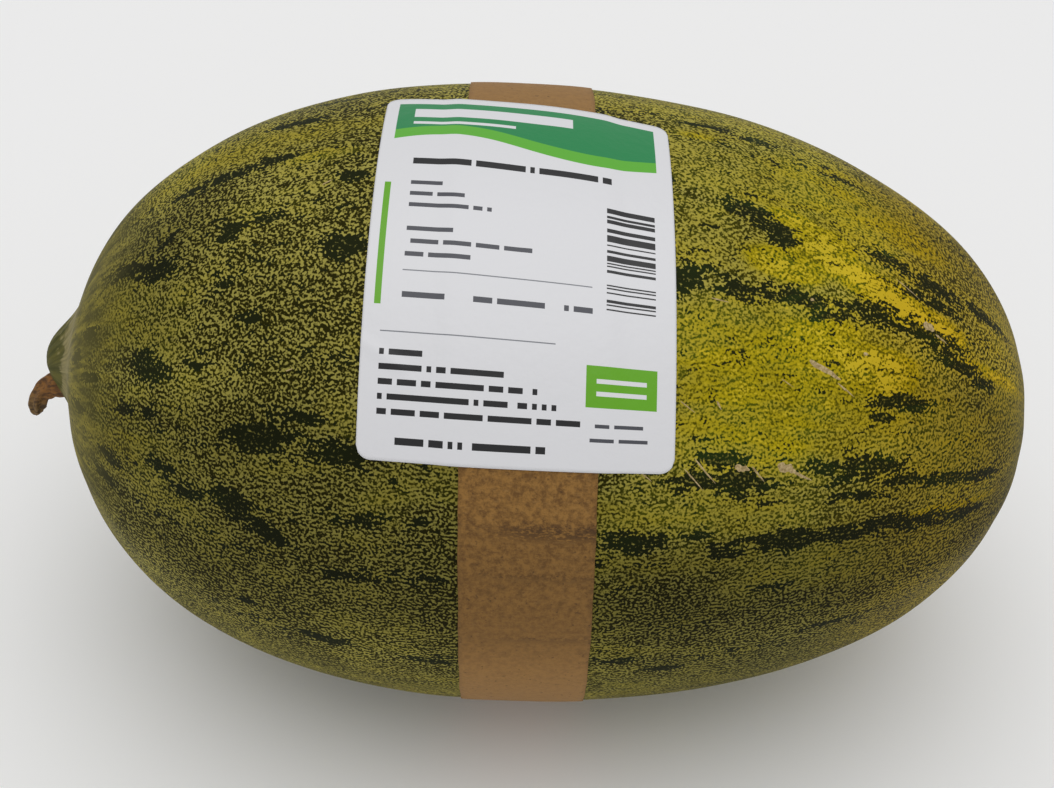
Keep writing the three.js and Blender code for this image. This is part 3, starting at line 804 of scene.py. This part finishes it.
class MELON_OT_rind(bpy.types.Operator):
    """Model the fruit's skin with its knuckle, furrows and blossom scar, and give it its markings"""
    bl_idname = "melon.rind"
    bl_label = "Rind"

    def execute(self, context):
        settings = context.scene.melon_rind
        coarse = 1
        bm = new_grid(settings.length_steps // coarse, settings.girth_steps // coarse)
        lie = bm.verts.layers.float_vector.new("lie")
        dark = bm.verts.layers.float.new("dark")
        gold = bm.verts.layers.float.new("gold")
        painted_shading = bm.verts.layers.float.new("painted_shading")
        far_blotches, far_zones = far_side_marks()
        blotches = [*SHOWN_BLOTCHES, *far_blotches]
        zones = [*SHOWN_GOLD, *far_zones]
        near_marks = {}
        for vert in bm.verts:
            share = 0.5 + 0.5 * vert.co.x
            angle = math.pi * vert.co.y
            station = math.pi * (share - END_CROWDING * math.sin(2 * math.pi * share))
            vert.co = over_rind(station, angle, RIND_LIFT)
            x = vert.co.x
            radius = math.hypot(vert.co.y, vert.co.z - AXIS_Z)
            degrees = (math.degrees(angle) + 90) % 360 - 90
            around = LIE_ROUND * Vector((math.cos(angle), math.sin(angle)))
            vert[lie] = MM * Vector((LIE_LENGTH * station, *around))
            column = round(x)
            if column not in near_marks:
                near_marks[column] = (within_reach(blotches, x, 1.0), within_reach(zones, x, 1.2))
            near_blotches, near_zones = near_marks[column]
            blotch = blotch_strength(near_blotches, x, degrees, max(radius, END_RADIUS))
            vert[dark] = max(row_strength(x, degrees, radius), blotch)
            vert[gold] = max(gold_base(x, degrees), gold_strength(near_zones, x, degrees, radius))
            # Painted light and shade, stored for the skin's colour.
            vert[painted_shading] = painted_skin_shading(x, degrees)
        rind = finish_mesh("melon_rind", bm, rind_material(settings))
        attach(rind, "root")
        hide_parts("fruit")
        return {"FINISHED"}


class MELON_OT_cork_marks(bpy.types.Operator):
    """Lay the healed, corky scratches on the shown side of the rind"""
    bl_idname = "melon.cork_marks"
    bl_label = "Corky scratches"

    def execute(self, context):
        draw = random.Random(RANDOM_START)
        bm = bmesh.new()
        for x, angle, length, width, turn in CORK_MARKS:
            mark = bmesh.ops.create_grid(bm, x_segments=14, y_segments=4, size=1.0)["verts"]
            lean = math.radians(turn)
            phase = draw.uniform(0, 50)
            for vert in mark:
                u, v = vert.co.x, vert.co.y
                taper = (1 - u * u) ** 0.6 * (1 - 0.35 * u)
                wave = 1 + 0.5 * noise.noise(Vector((u * 3 + phase, v, phase)))
                along = u * length / 2
                aside = v * width / 2 * taper * wave + 0.18 * width * noise.noise(Vector((u * 2, phase, 0)))
                dx = along * math.cos(lean) - aside * math.sin(lean)
                dy = along * math.sin(lean) + aside * math.cos(lean)
                spot = x + dx
                station = station_at(spot)
                radius = FRUIT_RADIUS * math.sin(station) ** (2 / FULLNESS)
                lift = RIND_LIFT + CORK_RISE * (1 - v * v) * (1 - u ** 4) - CORK_SINK
                vert.co = over_rind(station, math.radians(angle) + dy / radius, lift)
        marks = finish_mesh("cork_marks", bm, cork_material(context.scene.melon_rind))
        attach(marks, "root")
        return {"FINISHED"}


class MELON_OT_stem(bpy.types.Operator):
    """Model the short dried stem, ribbed, bent down and knobbed at its cut tip"""
    bl_idname = "melon.stem"
    bl_label = "Stem"

    def execute(self, context):
        settings = context.scene.melon_stem
        bm = bmesh.new()
        bmesh.ops.create_cone(
            bm, cap_ends=True, cap_tris=False, segments=settings.sides, radius1=1.0, radius2=1.0, depth=1.0)
        upright = [edge for edge in bm.edges if abs(edge.verts[0].co.z - edge.verts[1].co.z) > 0.5]
        bmesh.ops.subdivide_edges(bm, edges=upright, cuts=STEM_CUTS, use_grid_fill=True)
        for _ in range(3):
            caps = [face for face in bm.faces if len(face.verts) > 4]
            bmesh.ops.inset_region(bm, faces=caps, thickness=0.28, depth=0.0)
        run = bm.verts.layers.float.new("run")
        for vert in bm.verts:
            share = vert.co.z + 0.5
            angle = math.atan2(vert.co.y, vert.co.x)
            spread = math.hypot(vert.co.x, vert.co.y)
            centre = STEM_ROOT.lerp(STEM_BEND, share).lerp(STEM_BEND.lerp(STEM_TIP, share), share)
            ahead = (STEM_BEND.lerp(STEM_TIP, share) - STEM_ROOT.lerp(STEM_BEND, share)).normalized()
            across = ahead.cross(Vector((0, 0, 1))).normalized()
            up = across.cross(ahead)
            flare = 1 + 0.25 * share ** 4 + STEM_FLARE * (1 - share) ** 2
            rib = 1 + STEM_RIB_SHARE * math.cos(STEM_RIBS * angle) * share
            ripple = noise.noise(Vector((math.cos(angle), math.sin(angle), share * 7)))
            lump = 1 + STEM_LUMP * ripple * min(1, 2 * share)
            rounded = 1 - 0.3 * smooth_step(share, 0.88, 1.0)
            radius = STEM_RADIUS * flare * rib * lump * rounded * spread
            dome = STEM_DOME * (1 - spread * spread) * (1 if share > 0.5 else -1)
            pit = STEM_PIT * noise.noise(Vector((vert.co.x * 2, vert.co.y * 2, 9))) if share > 0.98 else 0.0
            aside = across * radius * math.cos(angle) + up * radius * math.sin(angle)
            vert.co = centre + aside + ahead * (dome + pit)
            vert[run] = share
        stem = finish_mesh("dried_stem", bm, stem_material(settings))
        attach(stem, "root")
        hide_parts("stem")
        return {"FINISHED"}


class MELON_OT_band(bpy.types.Operator):
    """Model the paper band that is wound once round the fruit's middle"""
    bl_idname = "melon.band"
    bl_label = "Paper band"

    def execute(self, context):
        bm = new_grid(*BAND_STEPS)
        lie = bm.verts.layers.float_vector.new("lie")
        turn = bm.verts.layers.float.new("turn")
        for vert in bm.verts:
            across = vert.co.x * BAND_WIDTH / 2
            degrees = 180 * vert.co.y - 90
            angle = math.radians(degrees)
            fray = BAND_FRAY * noise.noise(Vector((angle * 9, vert.co.x * 0.4, 5)))
            edge = abs(vert.co.x) ** 8
            x = band_middle(angle) + across + fray * edge
            dip = -BAND_DIP * edge * (0.5 + noise.noise(Vector((angle * 6, vert.co.x, 2))))
            vert.co = over_rind(station_at(x), angle, BAND_TOP_LIFT + dip)
            vert[lie] = Vector((across, FRUIT_RADIUS * math.cos(angle), FRUIT_RADIUS * math.sin(angle))) * MM
            vert[turn] = degrees
        band = finish_mesh("kraft_band", bm, kraft_material(context.scene.melon_paper))
        shell = band.modifiers.new("paper", "SOLIDIFY")
        shell.thickness = PAPER_THICKNESS * MM
        shell.offset = -1.0
        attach(band, "root")
        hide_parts("paper_band")
        return {"FINISHED"}


class MELON_OT_label(bpy.types.Operator):
    """Model the label that is stuck over the band and on to the rind beside it"""
    bl_idname = "melon.label"
    bl_label = "Label"

    def execute(self, context):
        bm = new_grid(*LABEL_STEPS)
        sheet = bm.loops.layers.uv.new("sheet")
        flat = {}
        for vert in bm.verts:
            across = LABEL_HALF_WIDTH * mix(vert.co.x, math.sin(vert.co.x * math.pi / 2), CORNER_CROWDING)
            share = 0.5 + 0.5 * vert.co.y
            trim = corner_trim(across)
            flat[vert.index] = (across + LABEL_HALF_WIDTH, trim + share * (LABEL_HEIGHT - 2 * trim))
            vert.co = label_point(across, share, LABEL_THICKNESS)
        for face in bm.faces:
            for loop in face.loops:
                loop[sheet].uv = flat[loop.vert.index]
        label = finish_mesh("blank_form_label", bm, label_material(context.scene.melon_paper))
        shell = label.modifiers.new("paper", "SOLIDIFY")
        shell.thickness = LABEL_THICKNESS * MM
        shell.offset = -1.0
        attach(label, "root")
        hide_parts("label")
        return {"FINISHED"}


class MELON_OT_stage(bpy.types.Operator):
    """Set the pale floor, the soft light and the camera"""
    bl_idname = "melon.stage"
    bl_label = "Stage"

    def execute(self, context):
        scene = context.scene
        settings = scene.melon_stage
        scene.view_settings.view_transform = "Standard"

        bm = new_grid(1, 1, FLOOR_REACH)
        material, node = new_material("pale_studio_floor")
        shader = node("BsdfPrincipled", {"Base Color": settings.floor, "Roughness": 0.9})
        node("OutputMaterial", {"Surface": shader})
        floor = finish_mesh("floor", bm, material)

        world = bpy.data.worlds.new("soft_studio")
        world.use_nodes = True
        sky = world.node_tree.nodes["Background"].inputs
        sky["Color"].default_value = (1, 1, 1, 1)
        sky["Strength"].default_value = SKY_STRENGTH
        scene.world = world

        lamp = bpy.data.lights.new("overhead_softbox", "AREA")
        lamp.shape = "DISK"
        lamp.size = SOFTBOX_SIZE
        lamp.energy = SOFTBOX_POWER
        softbox = bpy.data.objects.new("overhead_softbox", lamp)
        softbox.location = SOFTBOX_PLACE
        softbox.rotation_euler = (LIT_PLACE - softbox.location).to_track_quat("-Z", "Y").to_euler()
        scene.collection.objects.link(softbox)

        tilt = settings.elevation
        back = Vector((0, -math.cos(tilt), math.sin(tilt)))
        level_right = Vector((1, 0, 0))
        level_up = back.cross(level_right)
        right = level_right * math.cos(settings.roll) + level_up * math.sin(settings.roll)
        up = level_up * math.cos(settings.roll) - level_right * math.sin(settings.roll)
        middle = Vector((WIDEST_X * MM, 0, AXIS_Z * MM))
        camera = bpy.data.objects.new("camera", bpy.data.cameras.new("camera"))
        camera.data.lens = settings.lens
        camera.data.sensor_width = 36.0
        camera.data.clip_start = 0.01
        place = middle + back * settings.distance + right * AIM_RIGHT * MM + up * AIM_UP * MM
        turn = Matrix((right, up, back)).transposed().to_4x4()
        camera.matrix_world = Matrix.Translation(place) @ turn
        scene.collection.objects.link(camera)
        scene.camera = camera
        return {"FINISHED"}


class MELON_PT_panel(bpy.types.Panel):
    """Lists the pieces of the melon"""
    bl_idname = "MELON_PT_panel"
    bl_label = "Banded melon"
    bl_space_type = "VIEW_3D"
    bl_region_type = "UI"
    bl_category = "Melon"

    def draw(self, context):
        for operator in OPERATORS:
            self.layout.operator(operator.bl_idname)


OPERATORS = (
    MELON_OT_stage, MELON_OT_rind, MELON_OT_cork_marks, MELON_OT_stem, MELON_OT_band, MELON_OT_label)
SETTINGS = {
    "melon_rind": MelonRindSettings,
    "melon_stem": MelonStemSettings,
    "melon_paper": MelonPaperSettings,
    "melon_stage": MelonStageSettings,
}


def register():
    for kind in (*SETTINGS.values(), *OPERATORS, MELON_PT_panel):
        bpy.utils.register_class(kind)
    for name, kind in SETTINGS.items():
        setattr(bpy.types.Scene, name, PointerProperty(type=kind))


def unregister():
    for name in SETTINGS:
        delattr(bpy.types.Scene, name)
    for kind in (MELON_PT_panel, *reversed(OPERATORS), *reversed(SETTINGS.values())):
        bpy.utils.unregister_class(kind)


def main():
    register()
    bpy.ops.melon.stage()
    bpy.ops.melon.rind()
    bpy.ops.melon.cork_marks()
    bpy.ops.melon.stem()
    bpy.ops.melon.band()
    bpy.ops.melon.label()


if __name__ == "__main__":
    main()
